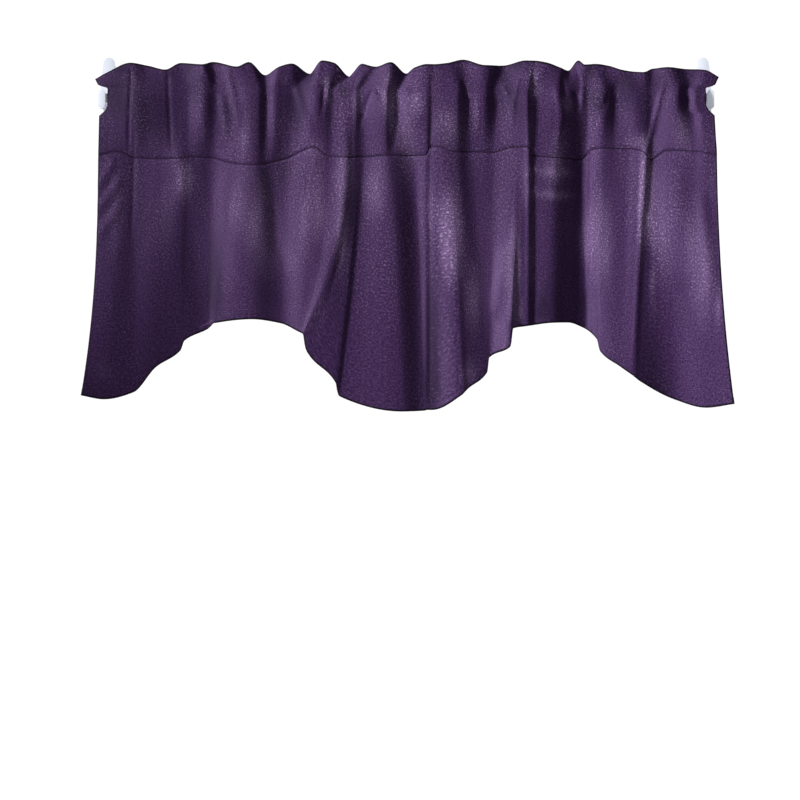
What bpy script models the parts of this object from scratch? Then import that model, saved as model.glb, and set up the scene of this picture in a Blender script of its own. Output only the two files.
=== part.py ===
"""A satin window valance with a scalloped hem, gathered on a rod that two wall hooks hold.

Metres, +Z up. The wall is the plane Y = 0 and the room is on the -Y side. The origin is on the
back of the left hook, at the height of the rod's axis.
"""

import math

import bmesh
import bpy
import numpy as np
from mathutils import Matrix

MM = 0.001

# Rod and hooks
ROD_RADIUS = 6 * MM
ROD_OUT = 50 * MM
HOOK_SPAN = 792 * MM
ROD_OVERHANG = 5.5 * MM
ROD_SIDES = 24
ROD_END_BEVEL = 1 * MM

PLATE_THICK = 3 * MM
PLATE_HALF_WIDTH = 11 * MM
PLATE_TOP_RADIUS = 7.5 * MM
PLATE_TOP = 61 * MM
PLATE_WAIST = 30 * MM
PLATE_BOTTOM = -15 * MM
PLATE_CORNER = 4 * MM

SADDLE_INNER = -2.5 * MM
SADDLE_OUTER = 5.5 * MM
SADDLE_CLEARANCE = 0.4 * MM
SADDLE_WALL = 3 * MM
SADDLE_TIP = 7.5 * MM
SADDLE_BACK_RISE = 3 * MM
TONGUE_HALF_WIDTH = 4.5 * MM
TONGUE_TOP = 9.5 * MM
TONGUE_BOTTOM = -15.5 * MM
TONGUE_PROUD = 0.5 * MM
ARM_ROOT_TOP = -1 * MM
ARM_ROOT_BOTTOM = -13 * MM
ARC_STEP = math.radians(15)

# Cloth
CLOTH_THICK = 1.2 * MM
LAYER_GAP = 0.8 * MM
ROD_TO_CLOTH = 0.8 * MM
UPPER_SEAM = 11.5 * MM
CLOTH_COLUMNS = 108
TURN_HEIGHT = 0.93
GATHER_REACH = 1.4
SAMPLES_A_FLANK = 16
PINCH_SHARE = 0.85
PINCH_LEAN = 4.5 * MM
TOP_LEAN = 7 * MM
BACK_SHARE = 0.6
NOTCH_MIDDLE = -3 * MM
NOTCH_HALF = 14 * MM
NOTCH_SLOPE = 4.5 * MM
NOTCH_DEEP = 10.5 * MM
NOTCH_REACH = 60 * MM
SKIRT_ROWS = (1.0, 0.92, 0.8, 0.66, 0.52, 0.38, 0.24, 0.1, 0.0)
POCKET_ROWS = (-0.3, -0.7, -0.77)
BACK_ROWS = (-0.77, -0.45, 0.0)

# Gathers above and in front of the rod, one row for each ridge or valley line from the left side
# to the right, in millimetres: its place across at the top edge and at the rod, how far it stands
# out from the rod's axis at the top and from the rod's front, and the height of the top edge.
GATHER_NAMES = ("top_x", "rod_x", "top_out", "rod_out", "top_z")
GATHERS = (
    (-10, -4, 2, 7, 23),
    (7, 15, 4, 9, 32),
    (36, 42, 4, 12, 44),
    (58, 62, -1, 9, 41),
    (81, 85, -1, 4, 36),
    (101, 110, -4, 0, 45),
    (130, 132, 4, 7, 42),
    (143, 148, -2, 1, 46),
    (175, 193, 5, 9, 39),
    (191, 203, 4, 8, 45),
    (211, 213, -4, 2, 29),
    (231, 225, 5, 6, 39),
    (247, 236, 4, 3, 43),
    (270, 249, -5, 0, 31),
    (286, 280, 4, 10, 47),
    (302, 290, 4, 8, 44),
    (322, 300, -4, 4, 27),
    (338, 319, 2, 7, 43),
    (349, 329, 4, 8, 40),
    (356, 337, 3, 5, 39),
    (376, 370, 9, 14, 44),
    (396, 383, -3, 4, 31),
    (407, 401, 3, 10.5, 38),
    (423, 423, 6, 16.5, 42),
    (431, 429, 5, 14.5, 42),
    (450, 461, 3, 16, 44),
    (470, 476, -2, 8, 49),
    (499, 497, 4, 10, 41),
    (524, 513, -6, 2, 42),
    (552, 553, 4, 15, 47),
    (561, 558, 3, 10, 47),
    (579, 566, 6, 8.5, 44),
    (597, 591, 3, 12, 38),
    (608, 609, -4, 5, 35),
    (621, 623, -2, 0, 48),
    (629, 632, 2, 0, 42),
    (644, 652, 1, 10, 43),
    (660, 660, -1, 6, 41),
    (678, 669, 2, 1, 35),
    (692, 695, 1, 8, 33),
    (706, 707, 3, 6, 32),
    (718, 717, -1, 3, 37),
    (737, 748, 6, 13, 38),
    (763, 769, -4, 4, 37),
    (786, 782, 2, 9, 35),
    (804, 797, 1, 8, 26),
)

# Folds of the skirt, one row for each ridge or valley line from the left side to the right, in
# millimetres: its place across and how far it stands out at the seam and at the hem, the height
# of the seam and of the hem there, and how late the line swings from one place to the other, where
# 1 is a straight line.
FOLD_NAMES = ("seam_x", "hem_x", "seam_out", "hem_out", "seam_z", "hem_z", "bend")
FOLDS = (
    (-7, -24, 7, 38, -77, -389, 2.4),
    (20, 4, 5, 27, -71, -394, 1.8),
    (43, 40, 1, 12, -79, -385, 1.6),
    (74, 68, 3, 1, -80, -352, 1),
    (100, 99, 7, -9, -80, -330, 0.8),
    (114, 104, 4, -10, -78, -317, 0.8),
    (139, 135, -2, -15, -78, -301, 1.2),
    (166, 143, 5, -12, -86, -294, 1.2),
    (195, 194, 11, -3, -89, -289, 1.5),
    (235, 231, 1, -11, -81, -294, 1.4),
    (276, 254, 10, -4, -66, -305, 1.8),
    (295, 258, 10.5, -2, -77, -307, 2),
    (316, 261, 14, 0, -79, -309, 2.2),
    (325, 265, 9.5, -2, -79, -330, 2),
    (333, 304, 6.5, -5, -78, -373, 1.4),
    (341, 308, 4, -9, -78, -390, 1.2),
    (376, 390, 9, 0, -76, -410, 1),
    (404, 419, -1, -9, -76, -409, 0.6),
    (422, 424, 4, -9, -76, -408, 0.9),
    (427, 430, 6, -8, -65, -408, 0.8),
    (439, 469, 10, 5, -66, -388, 0.45),
    (461, 477, 7, 2, -72, -380, 0.8),
    (482, 502, 1, -4, -71, -359, 1),
    (507, 505, 3, -5, -72, -339, 1),
    (538, 532, 9, 9, -66, -325, 1.5),
    (547, 536, 11, 2, -66, -301, 1.5),
    (555, 555, 13, 2, -66, -298, 1),
    (560, 561, 9, -2, -76, -297, 1),
    (585, 584, 10, 1, -79, -294, 1),
    (611, 610, 0, -12, -80, -293, 1),
    (626, 629, -10, -21, -79, -299, 1),
    (639, 647, 2, -13, -68, -315, 1),
    (653, 651, 8, -9, -67, -331, 1),
    (685, 676, 11, 0, -68, -351, 1),
    (704, 694, 17.5, 4, -72, -364, 1),
    (715, 702, 13.5, 1, -82, -370, 1.2),
    (736, 749, 19, -14, -71, -394, 2),
    (772, 788, 30, 4, -73, -405, 2),
    (798, 822, 37, 22, -78, -400, 2),
)

# Colours, as linear RGB
PURPLE = (0.066, 0.036, 0.096, 1)
WHITE = (0.8, 0.82, 0.85, 1)


def clear_scene():
    for item in list(bpy.data.objects):
        bpy.data.objects.remove(item, do_unlink=True)


def material(name, colour, roughness):
    made = bpy.data.materials.new(name)
    made.use_nodes = True
    shader = made.node_tree.nodes["Principled BSDF"]
    shader.inputs["Base Color"].default_value = colour
    shader.inputs["Roughness"].default_value = roughness
    shader.inputs["Metallic"].default_value = 0
    return made


def place(name, mesh, collection, finish):
    item = bpy.data.objects.new(name, mesh)
    item.data.materials.clear()
    item.data.materials.append(finish)
    collection.objects.link(item)
    return item


class Lines:
    """The ridge and valley lines of a table, read at any place on one or between two of them."""

    def __init__(self, names, rows):
        table = np.array(rows, dtype=float).T
        self.column = {}
        for name, values in zip(names, table):
            self.column[name] = values if name == "bend" else values * MM
        self.last = len(rows) - 1

    def along(self, name, at):
        return np.interp(at, np.arange(self.last + 1), self.column[name])

    def smooth(self, name, across, at):
        """A value as a soft curve across the cloth, level on each ridge and in each valley."""
        return soft_curve(self.column[across], self.column[name], self.along(across, at))


def soft_curve(knots, values, where):
    """A smooth curve through the knots that never swings past one of them."""
    rise = np.diff(values) / np.diff(knots)
    before, after = rise[:-1], rise[1:]
    climbing = before * after > 0
    total = np.where(climbing, before + after, 1)
    inner = np.where(climbing, 2 * before * after / total, 0)
    slope = np.concatenate([rise[:1], inner, rise[-1:]])
    left = np.clip(np.searchsorted(knots, where, side="right") - 1, 0, len(knots) - 2)
    span = knots[left + 1] - knots[left]
    part = (where - knots[left]) / span
    start = (1 + 2 * part) * (1 - part) ** 2 * values[left]
    start_slope = part * (1 - part) ** 2 * span * slope[left]
    end = part**2 * (3 - 2 * part) * values[left + 1]
    end_slope = part**2 * (part - 1) * span * slope[left + 1]
    return start + start_slope + end + end_slope


def soft_step(value):
    value = np.clip(value, 0, 1)
    return value * value * (3 - 2 * value)


class Hanging:
    """Where each point of the cut cloth hangs, a whole row across at a time.

    A row is an array with, for each column of the cloth, the place across, the distance out from
    the rod's axis towards the room, and the height.
    """

    def __init__(self, columns):
        self.gathers = Lines(GATHER_NAMES, GATHERS)
        self.folds = Lines(FOLD_NAMES, FOLDS)
        self.wrap = ROD_RADIUS + ROD_TO_CLOTH + CLOTH_THICK / 2
        self.layer = (CLOTH_THICK + LAYER_GAP) / 2
        places = np.linspace(0, self.folds.last, self.folds.last * SAMPLES_A_FLANK + 1)
        self.follow(places)
        widths = [self.front(1), self.front(0), self.front(-1), self.heading(1, 0)]
        steps = np.mean([np.hypot(*np.diff(row[:, :2], axis=0).T) for row in widths], axis=0)
        covered = np.concatenate([[0], np.cumsum(steps)])
        self.width = covered[-1]
        self.follow(np.interp(np.linspace(0, self.width, columns + 1), covered, places))

    def follow(self, at):
        """Take one column of the cloth at each of these places along the fold lines."""
        self.seam_x = self.folds.along("seam_x", at)
        self.hem_x = self.folds.along("hem_x", at)
        self.seam_out = self.folds.smooth("seam_out", "seam_x", at)
        self.hem_out = self.folds.smooth("hem_out", "hem_x", at)
        self.seam_z = self.folds.smooth("seam_z", "seam_x", at)
        self.hem_z = self.folds.smooth("hem_z", "hem_x", at)
        self.bend = self.folds.smooth("bend", "seam_x", at)
        part = (self.seam_x - self.seam_x[0]) / (self.seam_x[-1] - self.seam_x[0])
        rod_lines = self.gathers.column["rod_x"]
        self.rod_x = rod_lines[0] + (rod_lines[-1] - rod_lines[0]) * part
        line = np.interp(self.rod_x, rod_lines, np.arange(self.gathers.last + 1))
        self.rod_out = self.gathers.smooth("rod_out", "rod_x", line)
        self.top_x = self.gathers.along("top_x", line)
        self.top_out = TOP_LEAN + self.gathers.smooth("top_out", "top_x", line)
        self.top_z = self.gathers.smooth("top_z", "top_x", line)

    def front(self, drop):
        """The front layer: drop runs from -1 at the rod to 0 at the seam and 1 at the hem."""
        below = np.maximum(drop, 0)
        gathered = 1 - soft_step((drop + 1) / GATHER_REACH)
        swung = below**self.bend
        fold_x = self.seam_x + (self.hem_x - self.seam_x) * swung
        fold_out = self.seam_out + (self.hem_out - self.seam_out) * swung
        across = gathered * self.rod_x + (1 - gathered) * fold_x
        out = gathered * (self.wrap + self.rod_out) + (1 - gathered) * fold_out
        height = self.seam_z * np.minimum(1 + drop, 1) + (self.hem_z - self.seam_z) * below
        return np.stack([across, out, height], axis=1)

    @staticmethod
    def beside(row, offset):
        """The same row moved square to its folds, towards the room where offset is above 0."""
        run = np.gradient(row[:, 0])
        rise = np.gradient(row[:, 1])
        length = np.hypot(run, rise)
        moved = row.copy()
        moved[:, 0] -= offset * rise / length
        moved[:, 1] += offset * run / length
        return moved

    def over_rod(self, turn):
        """The back layer on the rod: turn runs from 0 over its top to 1 behind it."""
        angle = turn * math.pi / 2
        slack = BACK_SHARE * (self.rod_out.max() - self.rod_out)
        out = -(self.wrap * math.sin(angle) + slack * turn)
        height = np.full_like(out, self.wrap * math.cos(angle))
        return np.stack([self.rod_x, out, height], axis=1)

    def heading(self, part, side):
        """The two layers above the rod: part runs from 0 at the upper seam to 1 at the top."""
        pinch = PINCH_LEAN + PINCH_SHARE * self.rod_out
        across = self.rod_x + (self.top_x - self.rod_x) * part
        out = pinch + (self.top_out - pinch) * part
        height = UPPER_SEAM + (self.top_z - UPPER_SEAM) * part
        return self.beside(np.stack([across, out, height], axis=1), side * self.layer)

    def back(self, drop):
        """The back layer of the pocket: drop runs from -1 at the rod to 0 at the seam."""
        behind = self.over_rod(1)
        meets = self.beside(self.front(0), -2 * self.layer)
        row = behind + (meets - behind) * soft_step(1 + drop)
        row[:, 2] = self.seam_z * (1 + drop)
        return row

    @staticmethod
    def notched(row):
        """The same row drawn in at both side edges where it passes the hooks."""
        beyond = np.abs(row[:, 2] - NOTCH_MIDDLE) - NOTCH_HALF
        pull = NOTCH_DEEP * (1 - soft_step(beyond / NOTCH_SLOPE))
        left = 1 - soft_step((row[:, 0] - row[0, 0]) / NOTCH_REACH)
        right = 1 - soft_step((row[-1, 0] - row[:, 0]) / NOTCH_REACH)
        moved = row.copy()
        moved[:, 0] += pull * (left - right)
        return moved

    def rows(self):
        """From the hem up the front, over the top edge and down the back to the seam."""
        found = [self.front(drop) for drop in SKIRT_ROWS + POCKET_ROWS]
        found.append(self.front(-1))
        found.extend(self.heading(part, 1) for part in (0, 0.5, TURN_HEIGHT))
        found.append(self.heading(1, 0))
        found.extend(self.heading(part, -1) for part in (TURN_HEIGHT, 0.5, 0))
        found.extend(self.over_rod(turn) for turn in (0, 0.5, 1))
        found.extend(self.back(drop) for drop in BACK_ROWS)
        return [self.notched(row) for row in found]


def valance_cloth(collection, finish):
    """One panel of cloth, from a flat grid whose points are moved to where they hang."""
    rows = Hanging(CLOTH_COLUMNS).rows()
    grid = bmesh.new()
    bmesh.ops.create_grid(grid, x_segments=CLOTH_COLUMNS, y_segments=len(rows) - 1, size=1)
    for point in grid.verts:
        column = round((point.co.x + 1) / 2 * CLOTH_COLUMNS)
        row = round((point.co.y + 1) / 2 * (len(rows) - 1))
        across, out, height = rows[row][column]
        point.co = (across, -ROD_OUT - out, height)
    mesh = bpy.data.meshes.new("valance_cloth")
    grid.to_mesh(mesh)
    grid.free()
    mesh.shade_smooth()
    cloth = place("valance_cloth", mesh, collection, finish)
    thick = cloth.modifiers.new("Cloth thickness", "SOLIDIFY")
    thick.thickness = CLOTH_THICK
    thick.offset = 0
    return cloth


def rod(collection, finish):
    length = HOOK_SPAN + 2 * ROD_OVERHANG
    solid = bmesh.new()
    bmesh.ops.create_cone(
        solid,
        cap_ends=True,
        segments=ROD_SIDES,
        radius1=ROD_RADIUS,
        radius2=ROD_RADIUS,
        depth=length,
        matrix=Matrix.Rotation(math.pi / 2, 4, "Y"),
    )
    mesh = bpy.data.meshes.new("rod")
    solid.to_mesh(mesh)
    solid.free()
    mesh.shade_smooth()
    mesh.set_sharp_from_angle(angle=math.radians(30))
    item = place("rod", mesh, collection, finish)
    item.location = (HOOK_SPAN / 2, -ROD_OUT, 0)
    rounded = item.modifiers.new("Rounded ends", "BEVEL")
    rounded.width = ROD_END_BEVEL
    rounded.segments = 2
    rounded.limit_method = "ANGLE"
    rounded.angle_limit = math.radians(60)
    return item


def arc(centre, radius, start, end):
    """Points of an arc, with a point at least every ARC_STEP."""
    steps = max(2, math.ceil(abs(end - start) / ARC_STEP))
    points = []
    for step in range(steps + 1):
        angle = start + (end - start) * step / steps
        points.append(
            (centre[0] + radius * math.cos(angle), centre[1] + radius * math.sin(angle))
        )
    return points


def extruded(name, outline, thickness, matrix, collection):
    """A mesh object from a flat outline drawn in its own X and Y."""
    curve = bpy.data.curves.new(name, "CURVE")
    curve.dimensions = "2D"
    curve.fill_mode = "BOTH"
    curve.extrude = thickness / 2
    spline = curve.splines.new("POLY")
    spline.points.add(len(outline) - 1)
    for point, (x, y) in zip(spline.points, outline):
        point.co = (x, y, 0, 1)
    spline.use_cyclic_u = True
    drawn = bpy.data.objects.new(name + "_outline", curve)
    collection.objects.link(drawn)
    bpy.context.view_layer.update()
    graph = bpy.context.evaluated_depsgraph_get()
    mesh = bpy.data.meshes.new_from_object(drawn.evaluated_get(graph))
    bpy.data.objects.remove(drawn, do_unlink=True)
    solid = bmesh.new()
    solid.from_mesh(mesh)
    bmesh.ops.remove_doubles(solid, verts=solid.verts, dist=0.01 * MM)
    bmesh.ops.transform(solid, matrix=matrix, verts=solid.verts)
    bmesh.ops.recalc_face_normals(solid, faces=solid.faces)
    solid.to_mesh(mesh)
    solid.free()
    mesh.name = name
    return mesh


def plate_outline():
    """The hook's back plate in X and Z: square at the foot, narrowing to a round top."""
    corner = PLATE_HALF_WIDTH - PLATE_CORNER
    foot = PLATE_BOTTOM + PLATE_CORNER
    quarter = math.pi / 2
    points = arc((corner, foot), PLATE_CORNER, -quarter, 0)
    points.append((PLATE_HALF_WIDTH, PLATE_WAIST))
    lean = math.radians(8)
    points += arc((0, PLATE_TOP - PLATE_TOP_RADIUS), PLATE_TOP_RADIUS, lean, math.pi - lean)
    points.append((-PLATE_HALF_WIDTH, PLATE_WAIST))
    points += arc((-corner, foot), PLATE_CORNER, math.pi, 3 * quarter)
    return points


def saddle_outline():
    """The arm and saddle from the side: first is the distance out from the wall, then height."""
    inner = ROD_RADIUS + SADDLE_CLEARANCE
    outer = inner + SADDLE_WALL
    rod_axis = (ROD_OUT, 0)
    back_angle = math.pi - math.asin(SADDLE_BACK_RISE / inner)
    points = [(PLATE_THICK / 2, ARM_ROOT_TOP)]
    points.append((ROD_OUT - outer, ARM_ROOT_TOP))
    points.append((ROD_OUT - outer, SADDLE_BACK_RISE))
    points += arc(rod_axis, inner, back_angle, 2 * math.pi)
    tip = (ROD_OUT + inner + SADDLE_WALL / 2, SADDLE_TIP - SADDLE_WALL / 2)
    points += arc(tip, SADDLE_WALL / 2, math.pi, 0)
    points += arc(rod_axis, outer, 0, -math.pi / 2)
    points.append((PLATE_THICK / 2, ARM_ROOT_BOTTOM))
    return points


def tongue_outline():
    """The front of the saddle in X and Z: a tall tongue with round ends."""
    radius = TONGUE_HALF_WIDTH
    points = arc((0, TONGUE_TOP - radius), radius, 0, math.pi)
    points += arc((0, TONGUE_BOTTOM + radius), radius, math.pi, 2 * math.pi)
    return points


def hook(name, centre, outward, parts, cutters, finish):
    """A moulded wall hook. outward is -1 for the left one and 1 for the right one."""
    to_wall = Matrix.Translation((centre, -PLATE_THICK / 2, 0)) @ Matrix.Rotation(math.pi / 2, 4, "X")
    plate = extruded(name, plate_outline(), PLATE_THICK, to_wall, cutters)
    width = SADDLE_OUTER - SADDLE_INNER
    middle = centre + outward * (SADDLE_INNER + SADDLE_OUTER) / 2
    sideways = Matrix(((0, 0, 1, middle), (-1, 0, 0, 0), (0, 1, 0, 0), (0, 0, 0, 1)))
    saddle = extruded(name + "_saddle", saddle_outline(), width, sideways, cutters)
    front = ROD_OUT + ROD_RADIUS + SADDLE_CLEARANCE + SADDLE_WALL / 2 + TONGUE_PROUD
    to_front = Matrix.Translation((middle, -front, 0)) @ Matrix.Rotation(math.pi / 2, 4, "X")
    tongue = extruded(name + "_tongue", tongue_outline(), SADDLE_WALL, to_front, cutters)
    item = place(name, plate, parts, finish)
    for shape in (saddle, tongue):
        added = place(shape.name, shape, cutters, finish)
        added.hide_render = True
        added.display_type = "WIRE"
        joined = item.modifiers.new("Join " + shape.name, "BOOLEAN")
        joined.operation = "UNION"
        joined.solver = "EXACT"
        joined.object = added
    return item


def main():
    clear_scene()
    parts = bpy.data.collections.new("Window valance")
    cutters = bpy.data.collections.new("Joined shapes")
    bpy.context.scene.collection.children.link(parts)
    bpy.context.scene.collection.children.link(cutters)
    satin = material("Purple satin", PURPLE, 0.5)
    white_metal = material("White rod", WHITE, 0.4)
    white_plastic = material("White plastic", WHITE, 0.35)
    valance_cloth(parts, satin)
    rod(parts, white_metal)
    hook("hook_left", 0, -1, parts, cutters, white_plastic)
    hook("hook_right", HOOK_SPAN, 1, parts, cutters, white_plastic)
    cutters.hide_render = True


main()
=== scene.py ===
import math

import bmesh
import bpy
import numpy as np
from mathutils import Matrix, Vector


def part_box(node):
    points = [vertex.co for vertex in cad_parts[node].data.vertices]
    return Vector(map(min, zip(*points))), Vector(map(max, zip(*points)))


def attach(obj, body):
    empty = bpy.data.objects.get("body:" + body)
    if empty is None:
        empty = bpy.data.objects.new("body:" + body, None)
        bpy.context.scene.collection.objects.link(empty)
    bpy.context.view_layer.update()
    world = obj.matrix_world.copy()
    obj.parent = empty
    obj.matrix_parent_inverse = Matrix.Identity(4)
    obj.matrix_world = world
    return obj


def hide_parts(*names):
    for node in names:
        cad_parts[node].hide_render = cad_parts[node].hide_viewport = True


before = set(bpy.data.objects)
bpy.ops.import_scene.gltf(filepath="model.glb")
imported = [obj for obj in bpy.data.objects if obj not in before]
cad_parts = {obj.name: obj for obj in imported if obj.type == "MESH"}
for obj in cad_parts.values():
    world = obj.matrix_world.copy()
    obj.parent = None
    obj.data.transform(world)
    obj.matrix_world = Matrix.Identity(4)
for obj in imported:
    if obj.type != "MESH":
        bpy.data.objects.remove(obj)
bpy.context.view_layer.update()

MM = 0.001

# Camera: level and square to the valance, with the photo's frame and scale
PHOTO_SIDE = 800
REAL_PER_PIXEL = 1.306 * MM
VIEW_CENTRE = Vector((0.3878, 0, -0.3957))
CLOTH_OUT = 0.058
CAMERA_DISTANCE = 2.6
SENSOR = 36.0

# Lights, in metres, watts and degrees: where each one stands, how far to the right of the cloth's
# middle it aims, its width and height, its power, and the angle that it spreads over. The cloth's
# middle lies CLOTH_RISE above the view's.
LIGHT_NAMES = ("place", "aside", "size", "power", "spread")
LIGHTS = {
    "key_light": ((-3.5, -2.2, 1.2), 0.7, (1.0, 1.6), 12, 28),
    "fill_light": ((2.2, -1.8, 0.2), 0, (1.4, 1.6), 1.5, 180),
    "top_light": ((0.4, -0.9, 1.6), 0, (2.0, 0.8), 3, 180),
    "back_light": ((0.4, 1.6, 0.6), 0, (2.0, 1.0), 9, 180),
}
CLOTH_RISE = 0.25

# The white surround, as the camera sees it and as it lights the part, and the floor far below
SURROUND_SEEN = 1.05
SURROUND_LIGHT = 0.04
FLOOR_HEIGHT = -1.25
FLOOR_RADIUS = 1.35
FLOOR_SEGMENTS = 96
FLOOR_GLOW = 0.4

# Rod, and how far its axis is from the hooks' backs
ROD_RADIUS = 6 * MM
ROD_OUT = 50 * MM
ROD_SEGMENTS = 64

# Rounded edges, and the angles from which two faces are one side, an edge is rounded, and an edge
# is shaded sharp
ROD_EDGE = 1 * MM
HOOK_EDGE = 0.8 * MM
EDGE_STEPS = 3
SAME_POINT = 0.01 * MM
SAME_PLANE = math.radians(2)
SHARP_EDGE = math.radians(40)
SHADE_EDGE = math.radians(38)

# Cloth: its thickness here and in the solid, the gaps between the pocket's layers and round the
# rod, and how finely it is divided
SHEET_THICK = 0.7 * MM
SOLID_THICK = 1.2 * MM
LAYER_GAP = 0.8 * MM
ROD_TO_CLOTH = 0.8 * MM
SHEET_COLUMNS = 450
SAMPLES_A_FLANK = 16

# Heading: the height of the seam under it, how far it leans out there and at its top, how much of
# the gathers' depth its foot keeps, and the part of its height where it starts to turn over
UPPER_SEAM = 11.5 * MM
PINCH_LEAN = 4.5 * MM
TOP_LEAN = 7 * MM
PINCH_SHARE = 0.85
TURN_HEIGHT = 0.95

# Pocket: over how many pocket heights the gathers turn into the skirt's folds, how much of the
# slack hangs behind the rod, and the groove that the lower seam presses in
GATHER_REACH = 1.4
BACK_SHARE = 0.6
SEAM_WIDE = 1.8 * MM
SEAM_DEEP = 1.3 * MM

# Where both side edges are drawn in to pass the hooks
NOTCH_MIDDLE = -3 * MM
NOTCH_HALF = 14 * MM
NOTCH_SLOPE = 4.5 * MM
NOTCH_DEEP = 10.5 * MM
NOTCH_REACH = 60 * MM

# Rows of the sheet: above the hem, and how far its turn lies behind the front, then up the skirt
# and the pocket as a share of their heights, and beside the lower seam in millimetres
HEM_RISES = (0 * MM, 2 * MM, 5 * MM, 8 * MM)
TURN_GAP = 1.1 * MM
SKIRT_ROWS = 38
SKIRT_STEP = 0.0245
SKIRT_DROPS = tuple(0.96 - SKIRT_STEP * step for step in range(SKIRT_ROWS))
SEAM_DISTANCES = (7, 4.5, 2.8, 1.6, 0.8, 0, -0.8, -1.6, -2.8, -4.5, -7)
POCKET_DROPS = (-0.15, -0.23, -0.31, -0.4, -0.49, -0.58, -0.67, -0.76, -0.84, -0.92)

# Rows over the rod, with where the pocket and the heading lead into them, on the heading and the
# back, and the angles of the rows round the top edge
LEAD_DROP = -0.9
LEAD_PART = 0.2
FRONT_STEPS = 5
BEHIND_STEPS = 3
HEADING_ROWS = 8
TOP_TURNS = (45, 90, 135)
HEADING_BACK_ROWS = 6
POCKET_BACK_ROWS = 11

# How sharply creases and the painted sheen and shade fade where the cloth turns to the back
FACING_FADE = 4

# Half widths of the painted shade lines along the cloth's edges and seam
SIDE_EDGE = 1.2 * MM
TOP_EDGE = 1.8 * MM
HEM_EDGE = 1.7 * MM
SEAM_EDGE = 0.5 * MM

# Stitches
STITCH_LENGTH = 2.4 * MM
STITCH_PITCH = 3.2 * MM
THREAD_RADIUS = 0.18 * MM

# Satin: how many grains, slubs, streaks of painted sheen and crinkles lie in a metre of the cut
# cloth, how the slubs and the streaks are drawn out, how high above the hem the grain grows full,
# and its relief
GRAINS = 470
SLUBS = 800
STREAKS = 26
CRINKLES = 430
SLUB_STRETCH = (0.3, 1.0, 1.0)
STREAK_STRETCH = (1.0, 0.35, 1.0)
SMOOTH_HEM = (0.03, 0.3)
SATIN_RELIEF = 1.3 * MM

# Other finishes: how many twists, faint clouds and grains lie in a metre, and their relief
THREAD_TWISTS = 900
PLASTIC_CLOUDS = 60
PLASTIC_GRAINS = 1500
PLASTIC_RELIEF = 0.05 * MM
PAINT_CLOUDS = 90
PAINT_GRAINS = 700
PAINT_RELIEF = 0.04 * MM
STAGE_CLOUDS = 3
# How strongly the hooks glow, painted light that stands in for light bounced onto them
PAINTED_HOOK_GLOW = 0.35

# Gathers above and in front of the rod, one row for each ridge or valley line from the left side
# to the right, in millimetres: its place across at the top edge and at the rod, how far it stands
# out from the rod's axis at the top and from the rod's front, and the height of the top edge.
GATHER_NAMES = ("top_x", "rod_x", "top_out", "rod_out", "top_z")
GATHERS = (
    (-10, -4, 2, 7, 23),
    (7, 15, 4, 9, 32),
    (36, 42, 4, 12, 44),
    (58, 62, -1, 9, 41),
    (81, 85, -1, 4, 36),
    (101, 110, -4, 0, 45),
    (130, 132, 4, 7, 42),
    (143, 148, -2, 1, 46),
    (175, 193, 5, 9, 39),
    (191, 203, 4, 8, 45),
    (211, 213, -4, 2, 29),
    (231, 225, 5, 6, 39),
    (247, 236, 4, 3, 43),
    (270, 249, -5, 0, 31),
    (286, 280, 4, 10, 47),
    (302, 290, 4, 8, 44),
    (322, 300, -4, 4, 27),
    (338, 319, 2, 7, 43),
    (349, 329, 4, 8, 40),
    (356, 337, 3, 5, 39),
    (376, 370, 9, 14, 44),
    (396, 383, -3, 4, 31),
    (407, 401, 3, 10.5, 38),
    (423, 423, 6, 16.5, 42),
    (431, 429, 5, 14.5, 42),
    (450, 461, 3, 16, 44),
    (470, 476, -2, 8, 49),
    (499, 497, 4, 10, 41),
    (524, 513, -6, 2, 42),
    (552, 553, 4, 15, 47),
    (561, 558, 3, 10, 47),
    (579, 566, 6, 8.5, 44),
    (597, 591, 3, 12, 38),
    (608, 609, -4, 5, 35),
    (621, 623, -2, 0, 48),
    (629, 632, 2, 0, 42),
    (644, 652, 1, 10, 43),
    (660, 660, -1, 6, 41),
    (678, 669, 2, 1, 35),
    (692, 695, 1, 8, 33),
    (706, 707, 3, 6, 32),
    (718, 717, -1, 3, 37),
    (737, 748, 6, 13, 38),
    (763, 769, -4, 4, 37),
    (786, 782, 2, 9, 35),
    (804, 797, 1, 8, 26),
)

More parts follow.
